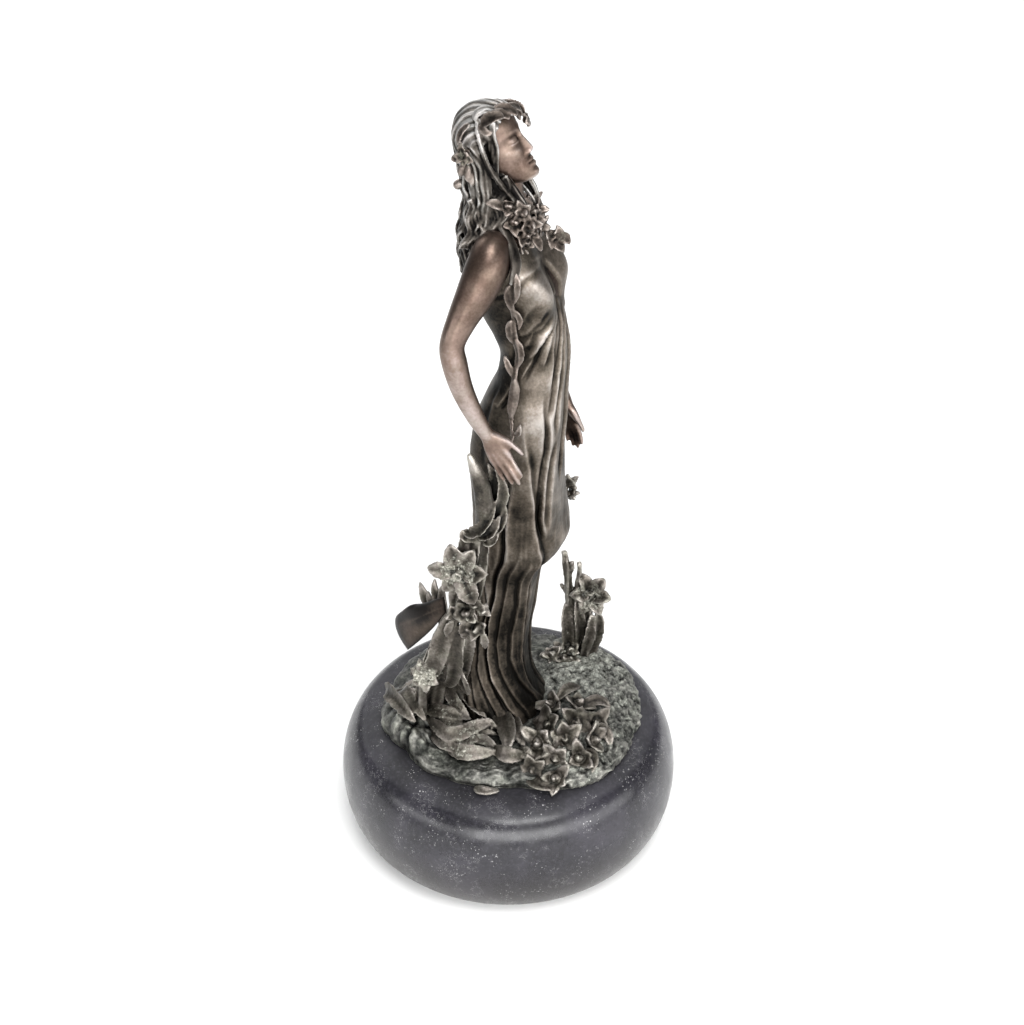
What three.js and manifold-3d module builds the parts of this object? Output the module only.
// A bronze of a flower goddess on a round plinth of dark polished stone.
// She steps forward with her head thrown back, in a clinging gown, with loose wavy hair,
// a wreath and a garland, on a rough bed of lilies, buds and long leaves.
// Millimetres, +Z up. She faces -Y, so her right hand is on the -X side.
// The origin is the middle of the plinth's underside.

import * as THREE from 'three';
import Module from 'manifold-3d';
import { ParametricGeometry } from 'three/addons/geometries/ParametricGeometry.js';
import { mergeVertices } from 'three/addons/utils/BufferGeometryUtils.js';

// Plinth
const plinthDiameter = 140;
const plinthHeight = 50;
const plinthEdgeWidth = 12.6; // how far the bullnose edge stands out from the flat faces
const stepDiameter = 114; // the shallow disc that the bronze stands on
const stepHeight = 1.5;

// Bronze
const groundDiameter = 104;
const groundHeight = 8;
const figureHeight = 262; // from the ground's top to the crown

const { PI, sin, cos, abs, sqrt, exp, max, min } = Math;
const tau = 2 * PI;
const groundTop = plinthHeight + groundHeight;
const groundRadius = groundDiameter / 2;

// Pose points are written for a figure 262 mm tall, and body() brings them to figureHeight.
const posedHeight = 262;
const unit = figureHeight / posedHeight;
const body = (x, y, z) => new THREE.Vector3(x, y, z).multiplyScalar(unit);

// Flora points are written for a bed 52 mm in radius, with heights in millimetres above its top.
const bedRadius = 52;
const spread = groundRadius / bedRadius;
const bed = (x, y, z) => new THREE.Vector3(x * spread, y * spread, z);

const wasm = await Module();
wasm.setup();

function solidOf(geometry) {
  geometry.deleteAttribute('normal');
  geometry.deleteAttribute('uv');
  const merged = mergeVertices(geometry, 1e-4);
  const index = merged.index.array;
  const triangles = [];
  for (let i = 0; i < index.length; i += 3) {
    const [a, b, c] = [index[i], index[i + 1], index[i + 2]];
    if (a !== b && b !== c && c !== a) triangles.push(a, b, c);
  }
  const mesh = (list) => new wasm.Mesh({
    numProp: 3,
    vertProperties: new Float32Array(merged.attributes.position.array),
    triVerts: new Uint32Array(list),
  });
  const solid = new wasm.Manifold(mesh(triangles));
  if (solid.volume() > 0) return solid;
  const flipped = [];
  for (let i = 0; i < triangles.length; i += 3) {
    flipped.push(triangles[i], triangles[i + 2], triangles[i + 1]);
  }
  return new wasm.Manifold(mesh(flipped));
}

function geometryOf(solid) {
  const { vertProperties, triVerts } = solid.getMesh();
  const geometry = new THREE.BufferGeometry();
  geometry.setAttribute('position', new THREE.BufferAttribute(new Float32Array(vertProperties), 3));
  geometry.setIndex(new THREE.BufferAttribute(new Uint32Array(triVerts), 1));
  geometry.computeVertexNormals();
  return geometry;
}

// A smooth curve through rows of numbers, read at the value of their first column.
function smoothTable(rows) {
  const slope = (i, k) => {
    const a = rows[max(i - 1, 0)];
    const b = rows[min(i + 1, rows.length - 1)];
    return (b[k] - a[k]) / (b[0] - a[0]);
  };
  return (z) => {
    let i = 0;
    while (i < rows.length - 2 && z > rows[i + 1][0]) i += 1;
    const [a, b] = [rows[i], rows[i + 1]];
    const h = b[0] - a[0];
    const s = min(max((z - a[0]) / h, 0), 1);
    const [s2, s3] = [s * s, s * s * s];
    return a.map((_, k) => (2 * s3 - 3 * s2 + 1) * a[k] + (s3 - 2 * s2 + s) * h * slope(i, k)
      + (3 * s2 - 2 * s3) * b[k] + (s3 - s2) * h * slope(i + 1, k));
  };
}

const upward = new THREE.Vector3(0, 0, 1);
const sideways = new THREE.Vector3(1, 0, 0);
const sized = (radii) => radii.map((r) => r * unit);
const bell = (x) => exp(-x * x);
const between = (a, b, t) => a + (b - a) * t;
const ease = (a, b, x) => {
  const t = min(max((x - a) / (b - a), 0), 1);
  return t * t * (3 - 2 * t);
};

// A closed round-ended limb through points, with a radius at each and a share of it across.
function limb(points, radii, { sides = 8, steps = 8, flat = 1, face = upward } = {}) {
  const curve = new THREE.CatmullRomCurve3(points);
  const last = radii.length - 1;
  const radiusAt = (t) => {
    const i = min(Math.floor(t * last), last - 1);
    const s = t * last - i;
    return between(radii[i], radii[i + 1], s * s * (3 - 2 * s));
  };
  return solidOf(new ParametricGeometry((u, v, target) => {
    const t = min(max(v, 0), 1);
    const along = curve.getTangent(t);
    const wide = new THREE.Vector3().crossVectors(face, along).normalize();
    const deep = new THREE.Vector3().crossVectors(along, wide).normalize();
    const end = v === 0 || v === 1 ? 0 : 1;
    const r = radiusAt(t) * end;
    curve.getPoint(t, target);
    target.addScaledVector(wide, r * cos(u * tau)).addScaledVector(deep, r * flat * sin(u * tau));
  }, sides, steps));
}

// A leaf or petal: a lens-shaped blade from its root to its tip, bowed sideways and cupped.
function blade(root, tip, shape) {
  const { width, thick = 1.6, bow = new THREE.Vector3(), face, cup = 0, steps = 5, sides = 4 } = shape;
  const along = new THREE.Vector3().subVectors(tip, root);
  return solidOf(new ParametricGeometry((u, v, target) => {
    const half = (width / 2) * max(sin(PI * v ** 0.75), 0) ** 0.8 + (v === 0 || v === 1 ? 0 : 0.2);
    const end = v === 0 || v === 1 ? 0 : 1;
    const wide = new THREE.Vector3().crossVectors(along, face).normalize();
    const out = new THREE.Vector3().crossVectors(wide, along).normalize();
    const across = cos(u * tau);
    target.copy(root).addScaledVector(along, v).addScaledVector(bow, 4 * v * (1 - v));
    target.addScaledVector(wide, half * across * end);
    target.addScaledVector(out, ((thick / 2) * sin(u * tau) + cup * across * across * half) * end);
  }, sides, steps));
}

function ball(centre, rx, ry, rz, { turn = 0, across = 10, up = 7 } = {}) {
  const geometry = new THREE.SphereGeometry(1, across, up);
  geometry.scale(rx, ry, rz);
  geometry.rotateX(turn);
  geometry.translate(centre.x, centre.y, centre.z);
  return solidOf(geometry);
}

// A bloom as one dished star: a tip and a notch for each petal, raised round its heart.
function flower(centre, facing, { petals = 6, length = 10, dish = 0.35, notch = 0.5, thick = 2 }) {
  const axis = facing.clone().normalize();
  const side = new THREE.Vector3().crossVectors(axis, new THREE.Vector3(0.3, 0.2, 1)).normalize();
  const reaches = [0, 0.45, 1, 0.4, 0];
  const lifts = [0.1, -0.02, dish, -0.12 - thick / length, -0.2 - thick / length];
  return solidOf(new ParametricGeometry((u, v, target) => {
    const k = Math.round(v * 4);
    const tip = Math.round(u * petals * 2) % 2 === 0;
    const reach = length * reaches[k] * (tip || k !== 2 ? 1 : notch);
    const lift = length * lifts[k] * (tip || k !== 2 ? 1 : 0.2);
    const out = side.clone().applyAxisAngle(axis, u * tau);
    target.copy(centre).addScaledVector(out, reach).addScaledVector(axis, lift);
  }, petals * 2, 4));
}

// The gown and torso: height, half width, front, back and middle, above the ground's top.
const bodyRows = smoothTable([
  [-4, 30, -17, 34, -3],
  [2, 25, -15, 29, -3],
  [10, 19, -13.5, 23, -2],
  [22, 15.5, -12.5, 18, -1],
  [36, 13.2, -12, 14.5, 0],
  [52, 12.6, -11.5, 12.5, 0],
  [64, 13, -12, 12.2, 0.5],
  [70, 13.6, -14.2, 12.2, 1],
  [76, 14.4, -18, 12.3, 1],
  [83, 15, -21, 12.5, 1],
  [92, 15.4, -22.4, 12.7, 1],
  [104, 16.2, -22.6, 12.9, 0.5],
  [122, 17.4, -22, 12.4, 0],
  [140, 17.8, -21.6, 10.4, 0],
  [150, 16.6, -21.5, 7.6, 0],
  [158, 14.4, -21.4, 4, 0],
  [168, 12.6, -21.2, 2.8, 0],
  [176, 13.2, -20.4, 5.4, 0],
  [184, 14.6, -18.6, 9, 0],
  [194, 16.6, -14.8, 9.8, 0],
  [203, 18.4, -11.2, 9.8, 0],
  [209, 18, -9.2, 9, 0],
  [214, 14.8, -8.2, 7.4, 0],
  [219, 10, -7.4, 5, 0],
  [226, 6.4, -6.8, 3.2, 0],
  [234, 5.6, -7, 2.6, 0],
]);
const gownFoot = -4;
const neckTop = 234;
const foldCount = 7;
const foldDepth = 0.1; // share of the skirt's half width, at the hem
const bustDepth = 6.8;
const bustHeight = 197;

// The angle of turn is 0 in front and grows towards her right side.
function bodyPoint(u, v, target) {
  const z = between(gownFoot, neckTop, v);
  const [, half, front, back, middle] = bodyRows(z);
  const turn = u * tau > PI ? u * tau - tau : u * tau;
  const [s, c] = [sin(turn), cos(turn)];
  const square = 1 + 0.1 * sin(2 * turn) ** 2;
  const depth = (back - front) / 2;
  const skirt = ease(112, 14, z);
  const fold = 1 + skirt * foldDepth * cos(foldCount * turn + 0.5 * sin(z * 0.05));
  const end = v === 0 || v === 1 ? 0 : 1;
  const bustSpan = z > bustHeight ? 12 : 9;
  const bust = bustDepth * bell((z - bustHeight) / bustSpan) * bell((abs(turn) - 0.62) / 0.42);
  const knee = 2 * bell((z - 90) / 15) * bell((turn + 0.35) / 0.5);
  const seat = 1.2 * bell((z - 128) / 14) * bell((abs(turn) - 2.5) / 0.45);
  const out = (bust + knee + seat) * end;
  const reach = square * fold * end;
  const x = middle - half * s * reach - out * s * 0.55;
  const y = (front + back) / 2 - depth * c * reach - out * (turn * turn > 2 ? c : 1);
  target.set(x, y, z).multiplyScalar(unit);
}

function gownAndTorso() {
  const edge = [body(-3, -20.6, 180), body(-7, -20.8, 160), body(-10, -19.8, 135), body(-12.4, -16.4, 110),
    body(-11, -14.4, 84), body(-7, -13, 60)];
  return [
    solidOf(new ParametricGeometry(bodyPoint, 28, 27)),
    limb(edge, sized([1, 2, 2.6, 2.8, 2.4, 1]), { sides: 4, steps: 6, face: sideways }),
  ];
}

function arm(side, joints, thickness) {
  const points = joints.map(([x, y, z]) => body(side * x, y, z));
  return limb(points, sized(thickness), { sides: 8, steps: 11, face: sideways });
}

function hand(side, wrist, knuckles, fingers, thumb) {
  const place = ([x, y, z]) => body(side * x, y, z);
  const middle = place(knuckles[1]).add(place(knuckles[2])).multiplyScalar(0.5);
  const palm = [-0.45, 0.5, 1.3].map((share) => place(wrist).lerp(middle, share));
  const solids = [limb(palm, sized([2.8, 4.2, 4]), { sides: 6, steps: 4, flat: 0.62, face: sideways })];
  fingers.forEach(([bend, tip], i) => {
    solids.push(limb([place(knuckles[i]).lerp(middle, 0.35), place(knuckles[i]), place(bend), place(tip)],
      sized([1.4, 1.5, 1.3, 1.1]), { sides: 4, steps: 3, face: sideways }));
  });
  solids.push(limb(thumb.map(place), sized([1.6, 2, 1.6, 1.1]), { sides: 5, steps: 4, face: sideways }));
  return solids;
}

function arms() {
  const right = arm(-1, [[10.4, 0.8, 215.6], [16.2, 1.4, 213.8], [20.8, 2.2, 208.6], [25, 4.8, 201],
    [29.6, 8.6, 192.4], [33, 11.3, 184], [33.5, 10.3, 177], [32.6, 8.2, 167], [30.4, 4.2, 155],
    [28.5, -0.1, 146], [27.8, -2.5, 142]],
  [2.4, 6.4, 7.4, 6.9, 5.4, 4.5, 4.5, 4.1, 3.5, 3, 2.6]);
  const left = arm(1, [[10.4, 0.8, 215.6], [16.2, 1.4, 213.8], [20.8, 2.2, 208.6], [26, 4.4, 197],
    [31.6, 7, 181],
    [34, 7.4, 170], [33.4, 4, 161], [31, -3.5, 149], [28, -11, 138], [25.4, -15.5, 131], [25, -16.8, 128]],
  [2.4, 6.4, 7.4, 6.7, 5, 4.4, 4.5, 4.1, 3.5, 3, 2.6]);
  const rightHand = hand(-1, [28.4, -0.6, 145.2],
    [[27, -7, 137.4], [27.2, -5.6, 136], [27.2, -3.6, 135.2], [26.8, -1.6, 134.8]],
    [[[27.6, -9.6, 133.4], [27, -12, 129.2]], [[28.5, -8.6, 132], [28, -11.2, 126.8]],
      [[28.8, -6.1, 131.6], [28.3, -8.6, 126.9]], [[28, -3.2, 131.2], [27.8, -5.3, 127.8]]],
    [[27.4, -2, 143.6], [25.6, -6, 142.4], [24, -9.2, 140.4], [23.4, -11.9, 136.6]]);
  const leftHand = hand(1, [25.3, -15.7, 130.6],
    [[27, -18.6, 121.4], [27.2, -17.2, 120.6], [27, -15.6, 120.6], [26.6, -14, 121]],
    [[[28, -20.2, 116], [28, -20.8, 110.4]], [[28.3, -18.6, 114.8], [28.2, -19, 108.8]],
      [[28, -16.4, 115], [27.8, -16.6, 109.6]], [[27.2, -14.4, 116.4], [27, -14.2, 112]]],
    [[24.4, -17, 128.6], [24.6, -19.4, 125.6], [25.4, -20.8, 122], [26, -21.2, 118.6]]);
  return [right, left, ...rightHand, ...leftHand];
}

const headTilt = -0.38; // radians, backwards
const headHeight = 31.4; // chin to crown, on the posed height
const headCentre = body(0, 4, 245.8);

const chinLevel = -15.6;
const crownLevel = 15.4;

// A point of the head given upright: x sideways, y forwards negative, z up from its middle.
function onHead(x, y, z) {
  return new THREE.Vector3(x, y, z).multiplyScalar((unit * headHeight) / (crownLevel - chinLevel))
    .applyAxisAngle(new THREE.Vector3(1, 0, 0), headTilt).add(headCentre);
}

// The head in level sections: height, half width, front and back.
const headRows = smoothTable([
  [-15.6, 1.6, -8.8, -5],
  [-14.6, 4, -10.6, -2],
  [-12, 5.8, -11, 2],
  [-8.4, 7.4, -10.6, 6],
  [-4.4, 8.4, -10.8, 9],
  [0, 9.2, -10.8, 11.2],
  [4.4, 9.7, -11, 12],
  [8.6, 9.6, -10.2, 12],
  [12, 8.2, -7.8, 10.2],
  [14.4, 5.2, -4.2, 6.6],
  [15.4, 1.6, 0, 2.4],
]);

function head() {
  const skull = solidOf(new ParametricGeometry((u, v, target) => {
    const turn = u * tau > PI ? u * tau - tau : u * tau;
    const level = between(chinLevel, crownLevel, v);
    const [, half, front, back] = headRows(level);
    const end = v === 0 || v === 1 ? 0 : 1;
    const socket = 1.5 * bell((abs(turn) - 0.42) / 0.22) * bell((level - 0.6) / 1.9);
    const lips = 0.8 * bell(turn / 0.3) * bell((level + 8.4) / 1.4);
    const y = (front + back) / 2 - ((back - front) / 2) * cos(turn) * end + socket - lips;
    target.copy(onHead(-half * sin(turn) * end, y, level));
  }, 16, 11));
  return [
    skull,
    limb([onHead(0, -9.4, 2.2), onHead(0, -11.2, -0.8), onHead(0, -12.2, -3.4), onHead(0, -9.8, -4.8)],
      sized([0.7, 1, 1.3, 0.8]), { sides: 5, steps: 4, face: sideways }),
    limb([body(0, -1.5, 216), body(0, -2.4, 227), body(0, -0.6, 238)], sized([6.4, 5.4, 5.8]),
      { sides: 8, steps: 3, face: sideways }),
  ];
}

// Hair: a cap drawn back from the brow, a fall behind the neck, and waved locks over it.
function hair() {
  const solids = [
    ball(onHead(0, 0.4, 3.8), 10.8 * unit, 11.2 * unit, 12.9 * unit, { turn: headTilt, across: 12, up: 8 }),
    hairFall(),
  ];
  for (const side of [-1, 1]) {
    const lock = [onHead(side * 6, -7, 11), onHead(side * 10, -4.4, 5), onHead(side * 10.4, -1.6, -5),
      body(side * 10, -2.4, 232), body(side * 9.6, -5, 225), body(side * 8.4, -7, 216)];
    const radii = sized([1.6, 3, 3.4, 3.2, 2.8, 1.4]);
    solids.push(limb(lock, radii, { sides: 5, steps: 7, flat: 0.7, face: sideways }));
  }
  return solids;
}

// The fall of hair: height, half width, front and back; its waves run down the outside.
const fallRows = smoothTable([
  [191, 8, 7, 11],
  [196, 11.6, 5, 14],
  [204, 14.4, 2, 16.2],
  [214, 13.8, -1.4, 16.4],
  [224, 11.6, -4, 16.4],
  [234, 11.2, -4, 17.4],
  [244, 10.8, -2, 18],
  [252, 8, 1, 15],
]);

function hairFall() {
  const [foot, top] = [191, 252];
  const waves = 8;
  return solidOf(new ParametricGeometry((u, v, target) => {
    const turn = u * tau;
    const z = between(foot, top, v);
    const [, half, front, back] = fallRows(z);
    const end = v === 0 || v === 1 ? 0 : 1;
    const wave = 1 + 0.09 * cos(waves * turn + 0.9 * sin(z * 0.24));
    const y = (front + back) / 2 - ((back - front) / 2) * cos(turn) * wave * end;
    const tips = v === 0 ? 0 : 2.4 * cos(waves * turn) * bell((z - foot) / 6);
    target.set(-half * sin(turn) * wave * end, y, z + tips).multiplyScalar(unit);
  }, 24, 8));
}

// A wreath of curled petals, highest over the brow, with a bloom and buds behind her right ear.
function wreath() {
  const petals = 9;
  const ring = solidOf(new ParametricGeometry((u, v, target) => {
    const turn = u * tau;
    const lobe = abs(sin((petals * turn) / 2));
    const r = 1.3 + 1.5 * lobe;
    const reach = 10 + 0.8 * lobe + r * cos(v * tau);
    const level = 6.8 + 2.6 * cos(turn) + r * sin(v * tau);
    target.copy(onHead(-reach * sin(turn), 1.4 - reach * 1.02 * cos(turn), level));
  }, petals * 3, 4));
  const side = new THREE.Vector3(-1, 0.35, 0.2);
  const solids = [ring, flower(onHead(-11.4, 7.6, -1), side, { petals: 5, length: 4.8 * unit })];
  for (const [dy, dz] of [[-1.6, -8.4], [1.4, -9.2], [4.4, -8]]) {
    solids.push(blade(onHead(-9.4, 7.4, -2), onHead(-11.6, 8.6 + dy, -2 + dz),
      { width: 3.6 * unit, thick: 2.8 * unit, face: side, steps: 3 }));
  }
  return solids;
}

// Garland: blooms at the throat, and a leafy ribbon down her right side to the hand.
function garland() {
  const blooms = [
    [body(-9.4, -3.8, 225.6), new THREE.Vector3(-0.8, -0.5, 0.4), 6.6],
    [body(-8.4, -6.6, 218), new THREE.Vector3(-0.7, -0.7, 0.1), 6],
    [body(-2, -8.2, 221.4), new THREE.Vector3(-0.1, -0.9, 0.5), 6],
    [body(2.6, -13.4, 212), new THREE.Vector3(0.1, -0.9, 0.5), 7],
    [body(7.4, -6.8, 219), new THREE.Vector3(0.7, -0.7, 0.2), 6],
  ];
  const solids = blooms.map(([centre, facing, length]) => flower(centre, facing,
    { petals: 5, length: length * unit, thick: 3.4 * unit, dish: 0.2 }));
  const stalk = [body(-12.4, -4.6, 219), body(-14.4, -6, 206), body(-14.4, -6.4, 194), body(-13, -6.4, 181),
    body(-12.6, -7, 170), body(-14.8, -6.6, 157), body(-18.4, -7, 147), body(-24, -5.4, 139)];
  const leafy = Array.from({ length: 19 }, (_, i) => (i % 2 ? 3 : 1.5) * unit);
  solids.push(limb(stalk, leafy, { sides: 4, steps: 18, flat: 0.6, face: sideways }));
  return solids;
}

// The bed: an uneven mound with a ragged rim.
const rimRadius = (turn) => groundRadius
  * (0.955 + 0.03 * sin(3 * turn + 0.6) + 0.02 * sin(7 * turn) + 0.012 * cos(13 * turn));

// Rings of the bed from the middle of its underside to the middle of its top: reach and depth.
const bedRings = [[0, 1], [0.985, 1], [1, 0.68], [0.94, 0.34], [0.8, 0.12], [0.55, 0.02], [0.28, 0], [0, 0]];

function ground() {
  const steps = bedRings.length - 1;
  return solidOf(new ParametricGeometry((u, v, target) => {
    const turn = u * tau;
    const k = Math.round(v * steps);
    const [share, depth] = bedRings[k];
    const reach = rimRadius(turn) * share;
    const waves = k > 2 ? 1.3 * sin(3 * turn + 5 * share) * sin(PI * share) : 0;
    target.set(reach * sin(turn), -reach * cos(turn), waves - groundHeight * depth);
  }, 30, steps));
}

const rightSide = new THREE.Vector3(-1, 0, 0);
const outFront = new THREE.Vector3(-0.85, -0.3, 0.4);

const stem = (points, radii, more = {}) => limb(points.map((p) => bed(...p)), radii,
  { sides: 5, steps: 6, face: rightSide, ...more });
const leaf = (from, to, width, more = {}) => blade(bed(...from), bed(...to),
  { width, face: rightSide, thick: 3, ...more });
const bloom = (at, facing, petals, length, more = {}) => flower(bed(...at), facing,
  { petals, length, ...more });

// Lilies and leaves that climb beside her right hand.
function tallLilies() {
  return [
    stem([[-23, 22, -5], [-25, 19, 20], [-27.4, 15, 48], [-28.6, 11, 74], [-29, 6, 92], [-28, 3, 106]],
      [7, 6, 5, 4.4, 3.4, 2.4], { sides: 6, steps: 7, flat: 0.8 }),
    leaf([-28, 1.4, 97], [-30, 6.4, 138], 8.4, { bow: new THREE.Vector3(-0.6, -3.4, 0), steps: 5, cup: 0.3 }),
    leaf([-26.5, -1.4, 97], [-28.4, 0.4, 122], 7, { bow: new THREE.Vector3(0, -2, 0), steps: 4 }),
    leaf([-25, -3.4, 107], [-31, 6, 96], 7.4,
      { bow: new THREE.Vector3(-1.6, 0, -2.4), face: outFront, steps: 4 }),
    bloom([-32.4, 10.6, 86.5], outFront, 6, 12.4),
    bloom([-32.4, 5.6, 68.6], outFront, 5, 7.4, { thick: 3 }),
    bloom([-32, 2.6, 61.4], outFront, 5, 5.6, { thick: 3 }),
    leaf([-25, 14.4, 55], [-13, 43.5, 38], 19, { bow: new THREE.Vector3(-2, 2, 3), cup: 0.2,
      face: new THREE.Vector3(-1, 0.2, 0.35) }),
    leaf([-25, 14, 54], [-15, 38, 20], 15, { bow: new THREE.Vector3(-3, 1, 0) }),
    leaf([-24, 17, 42], [-10, 31.6, 55], 6, { thick: 3.8, bow: new THREE.Vector3(0, 0, -3), steps: 3 }),
    leaf([-26, 12, 56], [-31, 22, -3], 12, { bow: new THREE.Vector3(-4, -2, 0) }),
    bloom([-28.6, 25.6, 29], outFront, 6, 8.6),
    stem([[-24, 28, -4], [-25, 28.6, 14], [-27.6, 26, 28]], [3.6, 3, 2.4], { steps: 3 }),
  ];
}

// A broken twig, a lily and leaves across from her left side, and a bloom on the gown.
function farLily() {
  return [
    stem([[36, -21, -5], [38, -19.4, 20], [40, -16.6, 38], [40, -15, 48.6]], [5, 3.6, 2.4, 1.6],
      { steps: 5 }),
    stem([[38, -20.6, 16], [39.4, -21.2, 34], [38.6, -20.4, 44.6]], [3, 2.4, 1.4], { steps: 3 }),
    stem([[37, -25, -5], [38, -25.6, 12], [38.6, -25, 25]], [5, 3.4, 2.4], { steps: 3 }),
    bloom([38.4, -26, 26.6], new THREE.Vector3(-0.4, -0.8, 0.5), 6, 9.8),
    leaf([38, -25, -2], [37, -31, 14], 6, { bow: new THREE.Vector3(-1, -2, 0), steps: 4 }),
    flower(body(20.6, -16.4, 91), new THREE.Vector3(0.5, -0.9, 0.2), { petals: 5, length: 6.8 * unit }),
    limb([body(10, -12, 84), body(15, -14.6, 87.6), body(20.6, -16.4, 91)], sized([3.4, 3, 2.4]),
      { sides: 5, steps: 3 }),
  ];
}

// Long leaves laid along the near edge, a bouquet in front, and short leaves behind.
function lowFlora() {
  const laid = [[-30, 30, -40, 10], [-40, 16, -44, -4], [-41, 2, -39, -17], [-30, 20, -38, 2],
    [-31, 31, -20, 40]];
  const solids = laid.map(([x0, y0, x1, y1], i) => leaf([x0, y0, -4], [x1, y1, -1.6 + (i % 3)], 8,
    { thick: 3.4, face: upward, bow: new THREE.Vector3(-2, 0, 4 + (i % 2) * 2), steps: 3 }));
  const bouquet = [[-18, -19, 0.12, 9], [-32, -26, -0.36, 10], [-14, -34, -0.54, 9], [-24, -38, -0.24, 6]];
  for (const [x, y, lean, length] of bouquet) {
    solids.push(bloom([x, y, 4], new THREE.Vector3(-0.5, lean, 0.8), 6, length, { thick: 6, dish: 0.45 }));
  }
  const buds = 5;
  for (let i = 0; i < buds; i += 1) {
    const turn = i * 1.26 + 0.5;
    const [x, y] = [-22 + 11 * cos(turn), -28 + 12 * sin(turn)];
    solids.push(leaf([x, y, -5], [x - 4 + 3 * cos(turn), y + 4 * sin(turn), 6 + (i % 3) * 1.4], 5.6,
      { thick: 3.4, face: outFront, steps: 3, bow: new THREE.Vector3(-1, -1, 0) }));
  }
  const behind = 4;
  for (let i = 0; i < behind; i += 1) {
    const turn = 2 + i * 0.7;
    const [x, y] = [groundRadius * sin(turn), -groundRadius * cos(turn)];
    const root = new THREE.Vector3(x * 0.56, y * 0.56, -4);
    const tip = new THREE.Vector3(x * 0.84, y * 0.84, (i % 2) * 3);
    const bow = new THREE.Vector3(0, 0, 4);
    solids.push(blade(root, tip, { width: 9, thick: 3.4, face: upward, bow, steps: 3 }));
  }
  return solids;
}

function bronze() {
  const everything = [ground(), ...gownAndTorso(), ...arms(), ...head(), ...hair(), ...wreath(), ...garland(),
    ...tallLilies(), ...farLily(), ...lowFlora()];
  return geometryOf(wasm.Manifold.union(everything));
}

function plinth() {
  const faceRadius = plinthDiameter / 2 - plinthEdgeWidth;
  const shoulder = plinthHeight - stepHeight;
  const profile = [new THREE.Vector2(0, 0), new THREE.Vector2(faceRadius, 0)];
  const edgeSteps = 8;
  for (let i = 1; i < edgeSteps; i += 1) {
    const lift = (1 - cos((i * PI) / edgeSteps)) / 2;
    const bulge = plinthEdgeWidth * sqrt(1 - (2 * lift - 1) ** 2);
    profile.push(new THREE.Vector2(faceRadius + bulge, shoulder * lift));
  }
  profile.push(new THREE.Vector2(faceRadius, shoulder));
  profile.push(new THREE.Vector2(stepDiameter / 2, shoulder));
  profile.push(new THREE.Vector2(stepDiameter / 2 - stepHeight / 2, plinthHeight));
  profile.push(new THREE.Vector2(0, plinthHeight));
  const geometry = new THREE.LatheGeometry(profile, 40);
  geometry.rotateX(PI / 2);
  return geometryOf(solidOf(geometry));
}

const bronzeMaterial = new THREE.MeshStandardMaterial({ color: 0x5b4a40, roughness: 0.42, metalness: 0.9 });
const stoneMaterial = new THREE.MeshStandardMaterial({ color: 0x2c2a2c, roughness: 0.22, metalness: 0 });

const model = new THREE.Group();
const stone = new THREE.Mesh(plinth(), stoneMaterial);
stone.name = 'marble_plinth';
const casting = new THREE.Mesh(bronze(), bronzeMaterial);
casting.name = 'bronze_figure';
casting.position.z = groundTop;
model.add(stone, casting);

export default model;
